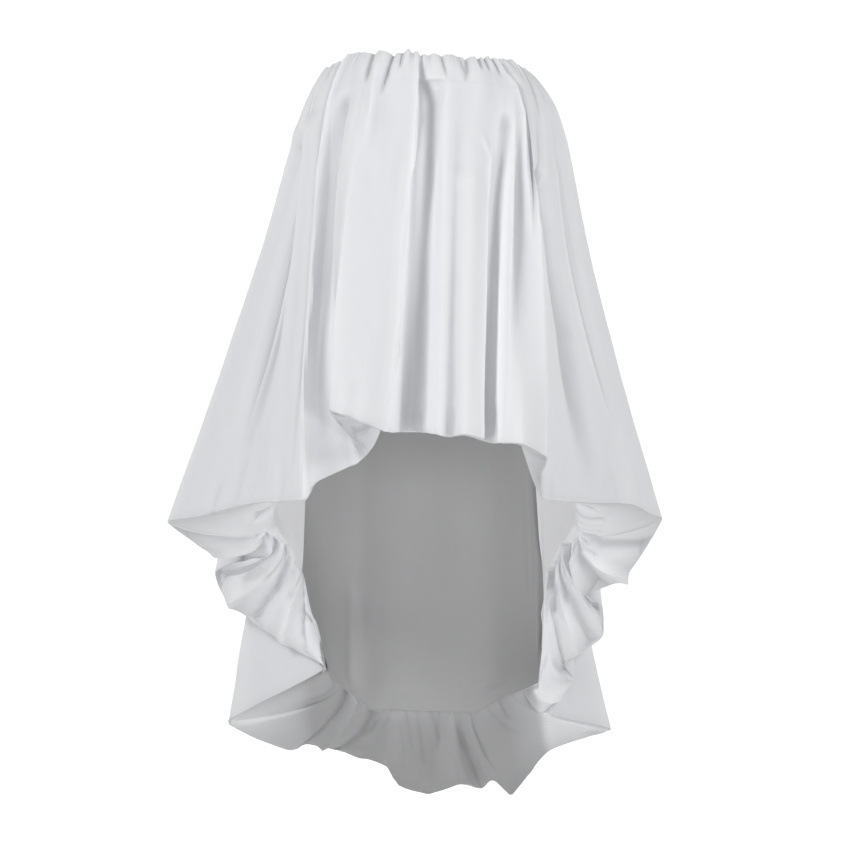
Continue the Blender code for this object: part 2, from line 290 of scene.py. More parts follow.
def cloth_finish(name, pale, painted_shade_colour, roughness, sheen, weave_depth, crumple_depth):
    """A woven cloth. Marks on the mesh say where it is painted grey as shade, painted darker in hollows,
    painted paler on ridges as a highlight, and given a painted glow for light through it from behind.
    """
    s = Shading(name)
    place = s.node("ShaderNodeUVMap", {"uv_map": "cloth"}).outputs["UV"]
    parts = s.node("ShaderNodeSeparateXYZ", Vector=place)
    turns = math.pi / THREAD
    weave = (s.number(parts, "X") * turns).sine() * (s.number(parts, "Y") * turns).sine()
    yarn_place = s.node("ShaderNodeMapping", Vector=place, Scale=YARN_SCALE).outputs["Vector"]
    yarn = s.number(s.node("ShaderNodeTexNoise", Vector=yarn_place, Scale=1.0, Detail=2.0), "Fac")
    slub_place = s.node("ShaderNodeMapping", Vector=place, Scale=SLUB_SCALE).outputs["Vector"]
    slub = s.number(s.node("ShaderNodeTexNoise", Vector=slub_place, Scale=1.0, Detail=1.0), "Fac")
    threads = yarn * YARN_SHARE + slub * (1 - YARN_SHARE)
    space = s.node("ShaderNodeTexCoord").outputs["Object"]
    folded = s.node("ShaderNodeTexNoise", Vector=space, Scale=CRUMPLE_SCALE, Detail=3.0, Roughness=0.45)
    crumple = s.number(folded, "Fac")
    cloud = s.number(s.node("ShaderNodeTexNoise", Vector=space, Scale=CLOUD_SCALE, Detail=2.0), "Fac")

    # Painted shade: the shade mark greys the cloth towards the deep colour
    shade, painted_shade, painted_highlight, painted_glow = (s.mark(key) for key in ("shade", "painted_shade", "painted_highlight", "painted_glow"))
    tone = s.mix(shade, pale, painted_shade_colour)
    mottle = (cloud - 0.5) * CLOUD_MOTTLE + (threads - 0.5) * THREAD_MOTTLE + 0.5
    body = s.mix(mottle, s.mix(MOTTLE_DARKER, tone, BLACK), tone)
    body = s.mix(painted_shade * PAINTED_SHADE_DARKER, body, BLACK)
    # Painted highlight: ridges are painted paler, towards white
    s.set(Base_Color=s.mix(painted_highlight * PAINTED_HIGHLIGHT_PALER, body, s.mix(shade, WHITE, tone)))
    # Painted glow: emission of the pale colour that stands in for light through the cloth
    s.set(Emission_Color=s.mix(painted_glow, BLACK, pale), Emission_Strength=PAINTED_GLOW_STRENGTH)
    s.set(Roughness=roughness + (threads - 0.5) * ROUGHNESS_SPREAD)
    s.set(Sheen_Weight=sheen, Sheen_Roughness=SHEEN_ROUGHNESS, Specular_IOR_Level=SPECULAR)

    cloth = weave * 0.5 + threads
    fine = s.node("ShaderNodeBump", Strength=WEAVE_STRENGTH, Distance=weave_depth, Height=cloth)
    form = s.node("ShaderNodeBump", Strength=CRUMPLE_STRENGTH, Distance=crumple_depth, Height=crumple)
    s.feed(form.inputs["Normal"], fine.outputs["Normal"])
    s.set(Normal=form.outputs["Normal"])
    return s.material


# The deep colours are painted shade: the inside of the back is white cloth painted grey where it lies in shade
SHELL_PALE = (0.86, 0.865, 0.885, 1.0)
SHELL_PAINTED_SHADE = (0.475, 0.475, 0.48, 1.0)
LINING_PALE = (0.90, 0.90, 0.905, 1.0)
LINING_PAINTED_SHADE = (0.52, 0.52, 0.523, 1.0)
THREAD_COLOUR = (0.78, 0.79, 0.82, 1.0)

shell_cloth = cloth_finish(
    "shell_cloth", SHELL_PALE, SHELL_PAINTED_SHADE,
    roughness=0.62, sheen=0.12, weave_depth=0.00012, crumple_depth=0.0022,
)
lining_cloth = cloth_finish(
    "lining_cloth", LINING_PALE, LINING_PAINTED_SHADE,
    roughness=0.75, sheen=0.05, weave_depth=0.00008, crumple_depth=0.003,
)
thread = Shading("thread")
thread.set(Base_Color=THREAD_COLOUR, Roughness=0.55, Sheen_Weight=0.2)
print("finishes", [m.name for m in bpy.data.materials])

# %% [markdown]
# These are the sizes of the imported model, so that the thin cloth here lies on its solids. The neckline is an
# ellipse round the top of the bust, and the lining is a slip that widens from it to its lower edge.

# %% Sizes of the garment
MILLIMETRE = 0.001
NECK_HALF_WIDTH = 0.139
NECK_HALF_DEPTH = 0.112
NECK_SIDE_DIP = 0.008
FRILL_HEIGHT = 0.007
CASING_HEIGHT = 0.028
SHELL_WALL = 0.0015
SEAM_GAP = 0.0004
LINING_HALF_WIDTH = 0.205
LINING_FRONT_DEPTH = 0.126
LINING_BACK_DEPTH = 0.172
LINING_SEAMS = (-122, 126)
SHOULDER_PUFF = 0.014
SHOULDER_PUFF_AT = 0.09
RIGHT_PUFF = 0.019
RIGHT_PUFF_AT = 0.19
HEM_ROLL = 0.007
HEM_TURN = 0.008
FACING_SAG = 0.035
SEAM_TUCK = 0.0002
LINING_BELLY = 0.012

# Lower edge of the lining: degrees round, how many metres it hangs, and how rounded the step after it is
LINING_EDGE = (
    (-180, 0.9, 0.5), (-160, 0.895, 0.7), (-140, 0.85, 0.7), (-130, 0.76, 0.7), (-122, 0.69, 0.1),
    (-112, 0.65, 0.2), (-90, 0.615, 0.1), (-70, 0.56, 0.2), (-45, 0.47, 1), (0, 0.43, 1),
    (45, 0.47, 0.2), (70, 0.56, 0.1), (90, 0.615, 0.2), (112, 0.65, 0.1), (123, 0.69, 0.1),
    (125.5, 0.79, 0.1), (128.5, 0.85, 0.1), (144, 0.872, 0.7), (160, 0.9, 0.7), (180, 0.9, 1),
)

# %% [markdown]
# Every fold of the shell is one line from the neckline to the hem. The table goes once round the garment,
# from the left side seam by way of the front. Between its lines the cloth swings smoothly, or
# sharply where the fold was pressed in.

# %% Fold lines of the shell
Fold = namedtuple("Fold", "name turn across depth drop soft mid seat", defaults=(1.0, None, None))
# Lengths are in millimetres
# turn    degrees round the neckline where it starts, 0 at the front, 90 at the right
# across  x of its hem point
# depth   y of its hem point, negative in front
# drop    how far its hem point hangs below the neckline
# soft    1 for a round fold, 0.2 for a crisp one
# mid     (x, y) halfway down, where it isn't straight
# seat    degrees round the lining where its turned-up hem is sewn, where that isn't straight in from the hem
FOLDS = (
    Fold("left_seam", -92, -308, -20, 608),
    Fold("left_hollow", -69, -231, -88, 588, 1),
    Fold("left_ridge", -51, -152, -200, 578, 0.35, (-149, -146), -40),
    Fold("left_ridge_turn", -48, -137, -194, 556, 0.6, (-134, -150), -35),
    Fold("left_tuck", -38, -79, -172, 525, 0.4, (-119, -163), -13.5),
    Fold("left_pleat_edge", -27, -121, -234, 466, 0.4, (-104, -176), -11),
    Fold("left_pleat", -17, -82, -248, 479, 1, None, -9),
    Fold("left_pleat_lip", -3, -49, -235, 492, 0.3, (-23, -176), -7),
    Fold("centre_tuck", -1, -30, -176, 493, 0.4, (-18, -148), -5.5),
    Fold("centre_recess", 4, -10, -178, 493, 0.7, None, -3),
    Fold("centre_rise", 12, 14, -224, 495, 0.8),
    Fold("centre_dip", 18, 30, -222, 499, 0.8),
    Fold("centre_crest", 27, 50, -236, 495, 1),
    Fold("centre_lip", 36, 74, -224, 501, 0.3),
    Fold("right_tuck", 38, 73, -190, 504, 0.4, (80, -148)),
    Fold("right_recess", 43, 84, -193, 507, 0.5, (90, -148)),
    Fold("right_rise", 47, 97, -226, 506, 0.5, (108, -164)),
    Fold("right_pleat", 50, 124, -234, 508, 1),
    Fold("right_lip", 53, 156, -204, 527, 0.35, (147, -153), 30),
    Fold("right_pinch", 58, 149, -166, 549, 0.4, (143, -130), 35),
    Fold("right_ridge", 63, 154, -156, 579, 0.5, (152, -122), 38),
    Fold("right_hollow", 72, 225, -82, 587, 1),
    Fold("right_corner", 84, 279, -40, 591, 0.7),
    Fold("right_seam", 92, 307, -10, 605),
    Fold("right_tip", 97, 328, 30, 615, 0.4),
    Fold("right_flute", 103, 281, 85, 699, 0.8, None, 100),
    Fold("right_valley", 110, 228, 118, 726, 0.5, (192, 95), 106),
    Fold("right_puff_top", 113, 252, 136, 742, 0.6, (200, 100), 110),
    Fold("right_puff", 117, 256, 152, 789, 0.6, (202, 108), 115),
    Fold("right_fall", 124, 202, 138, 829, 0.6, (188, 106), 121),
    Fold("right_curl", 130, 214, 152, 852, 0.8, (184, 117), 128),
    Fold("right_inner", 136, 176, 142, 896, 0.7, (168, 124), 135),
    Fold("right_back_tip", 144, 275, 212, 932, 0.4, (170, 145), 138),
    Fold("right_back_valley", 152, 186, 232, 966, 0.7),
    Fold("back_right_crest", 160, 132, 302, 1043, 0.7),
    Fold("back_right_notch", 166, 102, 264, 1016, 0.7),
    Fold("back_middle_right", 172, 86, 310, 1037, 0.9),
    Fold("back_notch", 177, 54, 256, 1021, 0.6),
    Fold("back_centre", 184, 8, 318, 1045, 1),
    Fold("back_middle_left", 191, -40, 296, 1030, 0.7),
    Fold("back_left_step", 195, -60, 244, 990, 0.6),
    Fold("back_left_crest", 204, -122, 300, 980, 1),
    Fold("left_back_valley", 212, -176, 232, 957, 0.5),
    Fold("left_back_rise", 217, -206, 250, 968, 0.8),
    Fold("left_back_tip", 223, -291, 204, 920, 0.4, (-200, 140), 216),
    Fold("left_inner", 233, -142, 116, 830, 0.4, (-176, 118), 226),
    Fold("left_fall", 240, -214, 136, 790, 0.8, (-198, 108), 237),
    Fold("left_puff", 247, -288, 158, 735, 0.8, (-214, 106), 250),
    Fold("left_puff_back", 251, -302, 146, 695, 0.7, (-222, 96), 254),
    Fold("left_valley", 255, -262, 110, 674, 0.5, (-208, 78), 258),
    Fold("left_flute", 260, -303, 78, 662, 0.6, None, 261.5),
    Fold("left_tip", 265, -358, 30, 618, 0.4),
    Fold("left_seam", 268, -308, -20, 608),
)
print("fold lines", len(FOLDS))

# %% [markdown]
# Arrays of points make the whole sheet at once: one row for each height and one column for each place round
# the garment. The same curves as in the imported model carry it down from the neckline, round the hem fold and
# up inside to the lining.

# %% Surfaces of the shell and the lining
def neck_points(turn, inset=0.0, z=0.0):
    """Points of the neckline ellipse, or of one drawn in by inset."""
    a = np.radians(turn)
    x = (NECK_HALF_WIDTH - inset) * np.sin(a)
    y = -(NECK_HALF_DEPTH - inset) * np.cos(a)
    return np.stack([x, y, z - NECK_SIDE_DIP * np.sin(a) ** 2 + 0 * a], axis=-1)


def away(turn):
    """The level direction that faces out of the neckline there."""
    a = np.radians(turn)
    out = np.stack([np.sin(a) / NECK_HALF_WIDTH, -np.cos(a) / NECK_HALF_DEPTH, 0 * a], axis=-1)
    return out / np.linalg.norm(out, axis=-1, keepdims=True)


def unit(vectors):
    return vectors / np.maximum(np.linalg.norm(vectors, axis=-1, keepdims=True), 1e-9)


def lining_drop(turn):
    """How far the lower edge of the lining hangs below the neckline."""
    level_turn = (np.asarray(turn) + 180.0) % 360.0 - 180.0
    edge = np.array(LINING_EDGE)
    low = np.clip(np.searchsorted(edge[:, 0], level_turn) - 1, 0, len(edge) - 2)
    t = (level_turn - edge[low, 0]) / (edge[low + 1, 0] - edge[low, 0])
    t = t * t * (3 - 2 * t) * edge[low, 2] + t * (1 - edge[low, 2])
    return edge[low, 1] + (edge[low + 1, 1] - edge[low, 1]) * t


def lining_depth(turn):
    return LINING_FRONT_DEPTH + (LINING_BACK_DEPTH - LINING_FRONT_DEPTH) * (1 - np.cos(np.radians(turn))) / 2


def lining_hem(turn):
    """The lining's lower edge, where the turned-up hem is sewn on."""
    a = np.radians(turn)
    x, y = LINING_HALF_WIDTH * np.sin(a), -lining_depth(turn) * np.cos(a)
    return np.stack([x, y, -lining_drop(turn)], axis=-1)


def fold_row(fold):
    """turn, middle, hem and seat of one fold line, in metres."""
    hem = np.array([fold.across, fold.depth, -fold.drop]) * MILLIMETRE
    middle = (neck_points(fold.turn) + hem) / 2
    if fold.mid:
        middle[:2] = np.array(fold.mid) * MILLIMETRE
    seat = fold.seat
    if seat is None:
        seat = math.degrees(math.atan2(hem[0] / LINING_HALF_WIDTH, -hem[1] / lining_depth(fold.turn)))
        seat += 360 * round((fold.turn - seat) / 360)
    return [fold.turn, *middle, *hem, seat]


ROWS = np.array([fold_row(f) for f in FOLDS])
SOFT = np.array([f.soft for f in FOLDS])
U = np.concatenate([[0.0], np.cumsum(np.linalg.norm(np.diff(ROWS[:, 4:7], axis=0), axis=1) ** 0.5)])
reach = np.arange(len(ROWS))
before, after = np.maximum(reach - 1, 0), np.minimum(reach + 1, len(ROWS) - 1)
SLOPES = SOFT[:, None] * (ROWS[after] - ROWS[before]) / (U[after] - U[before])[:, None]


def lines_at(u):
    """turn, middle, hem and seat at each u, as smooth curves through the fold lines."""
    i = np.clip(np.searchsorted(U, u, side="right") - 1, 0, len(U) - 2)
    step = (U[i + 1] - U[i])[:, None]
    t = (u[:, None] - U[i][:, None]) / step
    p, q = ROWS[i], ROWS[i + 1]
    m, n = SLOPES[i] * step, SLOPES[i + 1] * step
    out = p * (2 * t**3 - 3 * t**2 + 1) + m * (t**3 - 2 * t**2 + t)
    out += q * (3 * t**2 - 2 * t**3) + n * (t**3 - t**2)
    return out[:, 0], out[:, 1:4], out[:, 4:7], out[:, 7]


def shell_base(u, v):
    """Points of the shell's right side: v is 0 at the neckline, 1 at the hem fold and 2 at the lining."""
    turn, middle, hem, seat = lines_at(u)
    top = neck_points(turn, z=FRILL_HEIGHT)
    d = v[v <= 1][:, None, None]
    puff = SHOULDER_PUFF * d / SHOULDER_PUFF_AT * np.exp(1 - d / SHOULDER_PUFF_AT)
    right = RIGHT_PUFF * np.maximum(0.0, np.sin(np.radians(turn)))[None, :, None] ** 2
    puff = puff + right * d / RIGHT_PUFF_AT * np.exp(1 - d / RIGHT_PUFF_AT)
    outer = top * (1 - d) * (1 - 2 * d) + middle * 4 * d * (1 - d) + hem * d * (2 * d - 1) + away(turn) * puff
    w = v[v > 1][:, None, None] - 1
    fall = unit(top - 4 * middle + 3 * hem)
    sewn = lining_hem(seat) + away(seat) * SEAM_TUCK
    step = 0.01
    ahead = lines_at(np.minimum(u + step, U[-1]))[2] - lines_at(np.maximum(u - step, U[0]))[2]
    turned = hem + fall * HEM_ROLL + unit(np.cross(ahead, fall)) * HEM_TURN
    below = sewn - np.array([0, 0, FACING_SAG])
    facing = hem * (1 - w) ** 3 + turned * 3 * w * (1 - w) ** 2 + below * 3 * w**2 * (1 - w) + sewn * w**3
    return np.concatenate([outer, facing]), turn


def lining_base(turn, v):
    """Points of the lining's outer side: v is 0 at the top edge and 1 at its lower edge."""
    top = neck_points(turn, SHELL_WALL + SEAM_GAP, -CASING_HEIGHT - SEAM_GAP)
    d = v[:, None, None]
    return top * (1 - d) + lining_hem(turn) * d + away(turn) * LINING_BELLY * np.sin(math.pi * d)


def outward(points):
    """The direction out of the cloth at every point of a sheet."""
    return unit(np.cross(np.gradient(points, axis=0), np.gradient(points, axis=1)))


def run_along(points, axis):
    """How far each point lies along its row or its column."""
    steps = np.linalg.norm(np.diff(points, axis=axis), axis=-1)
    start = np.zeros_like(np.take(steps, [0], axis=axis))
    return np.concatenate([start, np.cumsum(steps, axis=axis)], axis=axis)


print("shell from u", round(U[0], 2), "to", round(U[-1], 2))

# %% [markdown]
# Creases are what makes the cloth read as cloth. Each row below is one crease seen on the garment: a ridge
# or a trough that follows a short path down the shell, given as (turn, v) steps. A side of 1 makes a pressed
# edge whose cloth drops away on the right only, as where one pleat lies over the next. The last ones, at the
# sides and the back, are guessed.

# %% Creases given one by one
Crease = namedtuple("Crease", "name lift width sharp path side", defaults=(0,))
# lift    millimetres off the smooth fold, negative for a trough
# width   how far it reaches to each side, in millimetres
# sharp   1 for a pressed crease, 2 for a soft one
# side    1 or -1 where it lies on that side of its path only
LEFT_SIDE_PATH = ((-78, 0.1), (-80, 0.2), (-82, 0.33), (-81, 0.46), (-80, 0.66), (-79, 0.85))
RIGHT_SIDE_PATH = ((72, 0.2), (74, 0.33), (76, 0.45), (80, 0.65), (84, 0.85))
CREASES = (
    Crease("left_ridge_edge", 6, 6, 1,
           ((-47, -0.02), (-49.4, 0.09), (-51, 0.26), (-49.7, 0.55), (-51.2, 0.9), (-51.2, 1.04))),
    Crease("left_ridge_shade", -6, 8, 1.5,
           ((-52, -0.02), (-54.5, 0.1), (-55.5, 0.25), (-53.5, 0.55), (-54.5, 0.98))),
    Crease("left_valley", -12, 13, 2,
           ((-39, 0.08), (-40.7, 0.15), (-43.2, 0.3), (-45.7, 0.53), (-45.7, 0.98))),
    Crease("left_gather_ridge", 4, 6, 1.6, ((-25.1, 0.005), (-23.3, 0.13), (-24.2, 0.3))),
    Crease("left_gather", -6, 5, 1.5, ((-31, -0.02), (-27.6, 0.09))),
    Crease("left_deep_gather", -8, 4, 1.3, ((-17.5, -0.02), (-18, 0.03), (-20, 0.13))),
    Crease("left_small_gather", -5, 3, 1.3, ((-12, -0.02), (-12.8, 0.06))),
    Crease("centre_edge", -8, 9, 1.3,
           ((-2.9, -0.02), (-0.7, 0.18), (-2.9, 0.35), (-3.7, 0.52), (-2.1, 0.79), (-3.7, 1)), 1),
    Crease("centre_edge_lip", 3, 10, 1.5, ((-2.9, 0.02), (-0.7, 0.18), (-2.9, 0.35), (-3.7, 0.6)), -1),
    Crease("centre_wedge", -6, 11, 1.8, ((-1, 0.06), (4, 0.14), (5, 0.24), (4.5, 0.34), (4, 0.5))),
    Crease("centre_wedge_edge", 3, 6, 1.2, ((11.9, 0.07), (10, 0.15), (11.3, 0.36))),
    Crease("centre_gather", -5, 3.5, 1.4, ((8.2, -0.02), (11.3, 0.08))),
    Crease("centre_small_gather", -5, 3.5, 1.5, ((19.5, -0.02), (20, 0.06))),
    Crease("right_soft_gather", -6, 4, 1.5, ((24, -0.02), (20.6, 0.09))),
    Crease("right_gather_a", -5, 3, 1.4, ((30.9, -0.02), (30.4, 0.05))),
    Crease("right_gather_b", -5, 3, 1.4, ((35.7, -0.02), (35.2, 0.05))),
    Crease("right_gather_c", -5, 3, 1.4, ((41.4, -0.02), (41.6, 0.06))),
    Crease("middle_ridge", 4, 20, 2, ((22.9, 0.3), (25.1, 0.65), (24, 0.95))),
    Crease("recess_brow", 3, 6, 1.3, ((29, 0.2), (33, 0.24), (36, 0.27), (37, 0.4))),
    Crease("right_recess", -8, 8, 2, ((43.9, 0.14), (42.6, 0.24), (41.2, 0.32), (41, 0.6), (41, 1))),
    Crease("right_edge", -8, 9, 1.2,
           ((43.9, -0.02), (46.7, 0.04), (50.1, 0.07), (51.9, 0.14), (51.9, 0.26), (52.1, 0.5)), 1),
    Crease("right_edge_lip", 2.8, 10, 1.5,
           ((46.7, 0.02), (50.1, 0.07), (51.9, 0.14), (51.9, 0.3), (52.1, 0.5)), -1),
    Crease("right_valley", -16, 22, 2, ((61, 0.25), (66, 0.38), (70.2, 0.61), (71, 0.98))),
    Crease("right_side_edge", -6, 14, 1.3, RIGHT_SIDE_PATH, 1),
    Crease("right_side_lip", 3, 8, 1.3, RIGHT_SIDE_PATH, -1),
    Crease("far_left_valley", -18, 24, 2, ((-87, 0.12), (-85.3, 0.21), (-78.4, 0.45), (-75.8, 0.95))),
    Crease("far_left_ridge", 9, 26, 2, ((-66, 0.1), (-66, 0.4), (-64, 0.8))),
    Crease("left_side_edge", -6, 14, 1.3, LEFT_SIDE_PATH, -1),
    Crease("left_side_lip", 3, 8, 1.3, LEFT_SIDE_PATH, 1),
    Crease("side_ridge", 6, 20, 2, ((104, 0.1), (103, 0.4), (101, 0.9))),
    Crease("side_valley", -7, 16, 1.8, ((114, 0.06), (111, 0.35), (110, 0.8))),
    Crease("back_right_edge", -6, 9, 1.3, ((131, -0.02), (133, 0.08), (136, 0.3), (137, 0.55)), 1),
    Crease("back_right_valley", -8, 18, 1.8, ((150, 0.03), (152, 0.3), (152, 0.9))),
    Crease("back_edge", -6, 10, 1.3, ((168, -0.02), (167, 0.1), (166, 0.45), (165, 0.8)), -1),
    Crease("back_middle_valley", -8, 18, 1.8, ((179, 0.05), (177.5, 0.4), (177, 0.9))),
    Crease("back_middle_ridge", 6, 20, 2, ((187, 0.04), (185, 0.4), (185, 0.85))),
    Crease("back_left_edge", -6, 10, 1.3, ((192, -0.02), (194, 0.12), (195, 0.5), (195, 0.9)), 1),
    Crease("back_left_valley", -8, 18, 1.8, ((213, 0.02), (212, 0.3), (212, 0.85))),
    Crease("side_back_edge", -6, 9, 1.3, ((229, -0.02), (228, 0.1), (227, 0.45)), -1),
    Crease("left_side_valley", -7, 16, 1.8, ((254, 0.06), (255, 0.35), (255, 0.8))),
    Crease("left_side_ridge", 6, 20, 2, ((262, 0.1), (261, 0.4), (261, 0.9))),
)
# The same, on the turned-up cloth between the hem fold, v 1, and the lining, v 2
TURNED_UP_CREASES = (
    Crease("left_corner_hollow", -10, 13, 1.8, ((263.5, 1.05), (263, 1.5), (263, 1.97))),
    Crease("left_corner_ridge", 6, 9, 1.3, ((259.5, 1.03), (260, 1.5), (260.5, 1.97))),
    Crease("left_flute_hollow", -14, 12, 1.6, ((256, 1.03), (257, 1.5), (258, 1.97))),
    Crease("left_flute_ridge", 8, 7, 1.2, ((253, 1.02), (253.5, 1.5), (254.5, 1.97))),
    Crease("left_puff_hollow", -14, 13, 1.7, ((250, 1.03), (250.5, 1.5), (251, 1.97))),
    Crease("left_puff_ridge", 9, 10, 1.3, ((246, 1.03), (247, 1.5), (248, 1.97))),
    Crease("left_narrow_fold", -8, 7, 1.4, ((243, 1.1), (244, 1.6), (246, 1.98))),
    Crease("left_long_fold", 7, 10, 1.4, ((239, 1.1), (240, 1.5), (242, 1.98))),
    Crease("left_end_fold", -4, 8, 1.4, ((236, 1.15), (237, 1.5), (239, 1.85))),
    Crease("left_back_streak_a", 6, 7, 1.5, ((209, 1.05), (210, 1.5), (210, 1.98))),
    Crease("left_back_streak_b", -6, 9, 1.6, ((206, 1.05), (206, 1.5), (206, 1.98))),
    Crease("left_back_streak_c", -6, 9, 1.6, ((213, 1.05), (213, 1.5), (213.5, 1.98))),
    Crease("left_front_tip_fold", -8, 10, 1.5, ((-31, 1.02), (-33, 1.4), (-34, 1.8))),
    Crease("left_front_tip_ridge", 5, 8, 1.4, ((-28, 1.05), (-29, 1.5), (-30, 1.8))),
    Crease("right_corner_hollow", -10, 12, 1.7, ((99.5, 1.04), (99, 1.5), (98.5, 1.97))),
    Crease("right_corner_ridge", 13, 7, 1.1, ((103, 1.01), (102.5, 1.5), (102, 1.97))),
    Crease("right_flute_hollow", -14, 12, 1.6, ((107, 1.03), (106, 1.5), (105.5, 1.97))),
    Crease("right_puff_ridge", 7, 8, 1.3, ((110.5, 1.05), (109.5, 1.5), (109, 1.97))),
    Crease("right_puff_hollow", -9, 8, 1.5, ((113.5, 1.1), (113, 1.5), (112.5, 1.97))),
    Crease("right_puff_fold", 6, 7, 1.3, ((116, 1.1), (115.5, 1.5), (115, 1.97))),
    Crease("right_long_hollow", -7, 9, 1.5, ((119, 1.1), (118.5, 1.5), (118, 1.97))),
    Crease("right_long_ridge", 6, 8, 1.3, ((122, 1.1), (121.5, 1.5), (121, 1.97))),
    Crease("right_fall_hollow", -4, 8, 1.4, ((124.5, 1.1), (124, 1.5), (124, 1.97))),
    Crease("right_curl_hollow", -7, 8, 1.5, ((127.5, 1.05), (127.5, 1.5), (127, 1.97))),
    Crease("right_curl_ridge", 6, 8, 1.4, ((133, 1.05), (132.5, 1.5), (131, 1.97))),
)

# How far the frilled top edge stands above its even line: degrees round, then millimetres
FRILL = (
    (-75, 2), (-59, 2), (-55, 3), (-47, 4), (-41, 7), (-36, 5), (-31.5, 5), (-28, 6), (-25, 5), (-21, 2),
    (-14, 0), (-11.5, 2), (-9.4, 5), (-8.3, 3), (-7.2, -3), (-5, 1), (-2.9, -1.5), (-0.5, 1), (1.7, -4.5),
    (4, -1.6), (7, -2.7), (15, -2.7), (17, -4), (19.6, -1), (23, -3), (30, -2), (37, 1), (44, 2.5), (49, 4),
    (53, 2), (57, 7), (61, 2.6), (66, 1.6), (75, 4),
)
print("creases", len(CREASES), "frill steps", len(FRILL))

# %% [markdown]
# Elastic draws the cloth into small, uneven gathers, and so does the seam on the lining. Those that nobody
# would place one by one are strewn here, from a fixed seed so that every run gives the same cloth.

# %% Gathers strewn round the hidden sides and the lining seam
SEED = 24
HAND_LAID = (-58.0, 56.0)
BACK_SEAM = (132.0, 226.0)
BACK_SEAM_SOFTER = 0.2
SIDE_GATHERS = ((98.0, 126.0), (241.0, 265.0))
SIDE_GATHER_WIDTH = 3.5
LEFT_SEAM = ROWS[0, 0]
# How each kind varies: degrees apart, then depth and width in millimetres
NECK_GATHER = dict(apart=(4.5, 9.0), depth=(2, 4.5), width=(3, 5.5))
SEAM_GATHER = dict(apart=(2.5, 5.0), depth=(3, 7), width=(4, 7))
SIDE_GATHER = dict(apart=(0.9, 1.7), depth=(4, 8))
HEM_RIPPLE = dict(apart=(5.0, 11.0), depth=(-3, 2), width=(6, 14))

strew = random.Random(SEED)
gathers = []
turn = LEFT_SEAM + 5
while turn < LEFT_SEAM + 355:
    if not HAND_LAID[0] < turn < HAND_LAID[1]:
        lean = strew.uniform(-2.5, 2.5)
        reach_down = strew.choice((0.05, 0.07, 0.1, 0.16))
        depth = strew.uniform(*NECK_GATHER["depth"])
        path = ((turn, -0.02), (turn + lean, reach_down))
        gathers.append(Crease("gather", -depth, strew.uniform(*NECK_GATHER["width"]), 1.4, path))
    turn += strew.uniform(*NECK_GATHER["apart"])

seam_gathers = []
turn = LEFT_SEAM + 4
while turn < LEFT_SEAM + 356:
    lean = strew.uniform(-4.0, 4.0)
    reach_up = strew.uniform(1.45, 1.75)
    depth = strew.uniform(*SEAM_GATHER["depth"])
    path = ((turn + lean, reach_up), (turn, 2.03))
    if BACK_SEAM[0] < turn < BACK_SEAM[1]:
        depth *= BACK_SEAM_SOFTER
    seam_gathers.append(Crease("seam_gather", -depth, strew.uniform(*SEAM_GATHER["width"]), 1.5, path))
    turn += strew.uniform(*SEAM_GATHER["apart"])

for first, last in SIDE_GATHERS:
    turn = first
    while turn < last:
        path = ((turn + strew.uniform(-0.5, 0.5), strew.uniform(1.55, 1.8)), (turn, 2.01))
        depth = strew.uniform(*SIDE_GATHER["depth"])
        seam_gathers.append(Crease("side_gather", -depth, SIDE_GATHER_WIDTH, 1.4, path))
        turn += strew.uniform(*SIDE_GATHER["apart"])

hem_ripples = []
turn = LEFT_SEAM + 6
while turn < LEFT_SEAM + 354:
    path = ((turn, strew.uniform(0.86, 0.93)), (turn + strew.uniform(-2, 2), strew.uniform(1.1, 1.3)))
    lift, width = strew.uniform(*HEM_RIPPLE["depth"]), strew.uniform(*HEM_RIPPLE["width"])
    hem_ripples.append(Crease("hem_ripple", lift, width, 1.8, path))
    turn += strew.uniform(*HEM_RIPPLE["apart"])
print("gathers", len(gathers), "seam gathers", len(seam_gathers), "hem ripples", len(hem_ripples))

# %% [markdown]
# Everything comes together in one sheet that goes once round the garment: the smooth folds, then every
# crease pushed along the cloth's own outward direction, then a slight unevenness that no cloth is without.

# %% The whole shell as one sheet
FRONT_COLUMNS = 332
BACK_COLUMNS = 346
OUTER_ROWS = 100
FACING_ROWS = 36
CREASE_EASE = 0.05
TAPER = 0.5
EDGE_STEP = 0.45
SEAM_EASE = 0.03
SEAM_FADE = 0.1
TOP_FADE = 0.05
IRON_WIDTH = 16
Ironed = namedtuple("Ironed", "turn width reach")
# Degrees round, degrees to each side, and how far down the cloth is smooth
IRONED = (Ironed(48, 13, 0.40), Ironed(-38, 11, 0.35), Ironed(18, 8, 0.2), Ironed(178, 60, 0.25))
WAVE_DEPTH = 0.0012
CRINKLE_DEPTH = 0.0003
# The line where the casing is sewn, which stands proud where the middle pleats part
CASING_LINE = 0.074
CASING_STEP = 0.003
CASING_STEP_OVER = 0.008
CASING_STEP_END = 0.3
CASING_STEP_FADE = 0.2
CASING_TURN = 4.5
CASING_SPREAD = 6.0
# The frill: its raggedness, the degrees past which a guessed frill takes over, and its reach in v
FRILL_RAGGED = 0.0022
FRILL_BACK_FROM = 66
FRILL_BACK_OVER = 8
FRILL_BACK_LIFT = 0.002
FRILL_BACK_RUFFLE = 0.005
FRILL_REACH = 0.035


def ease(t):
    t = np.clip(t, 0.0, 1.0)
    return t * t * (3 - 2 * t)


def dense_ends(count, crowd):
    """Steps from 0 to 1 that lie closer together at both ends."""
    t = np.linspace(0.0, 1.0, count)
    return t - crowd / (2 * math.pi) * np.sin(2 * math.pi * t)


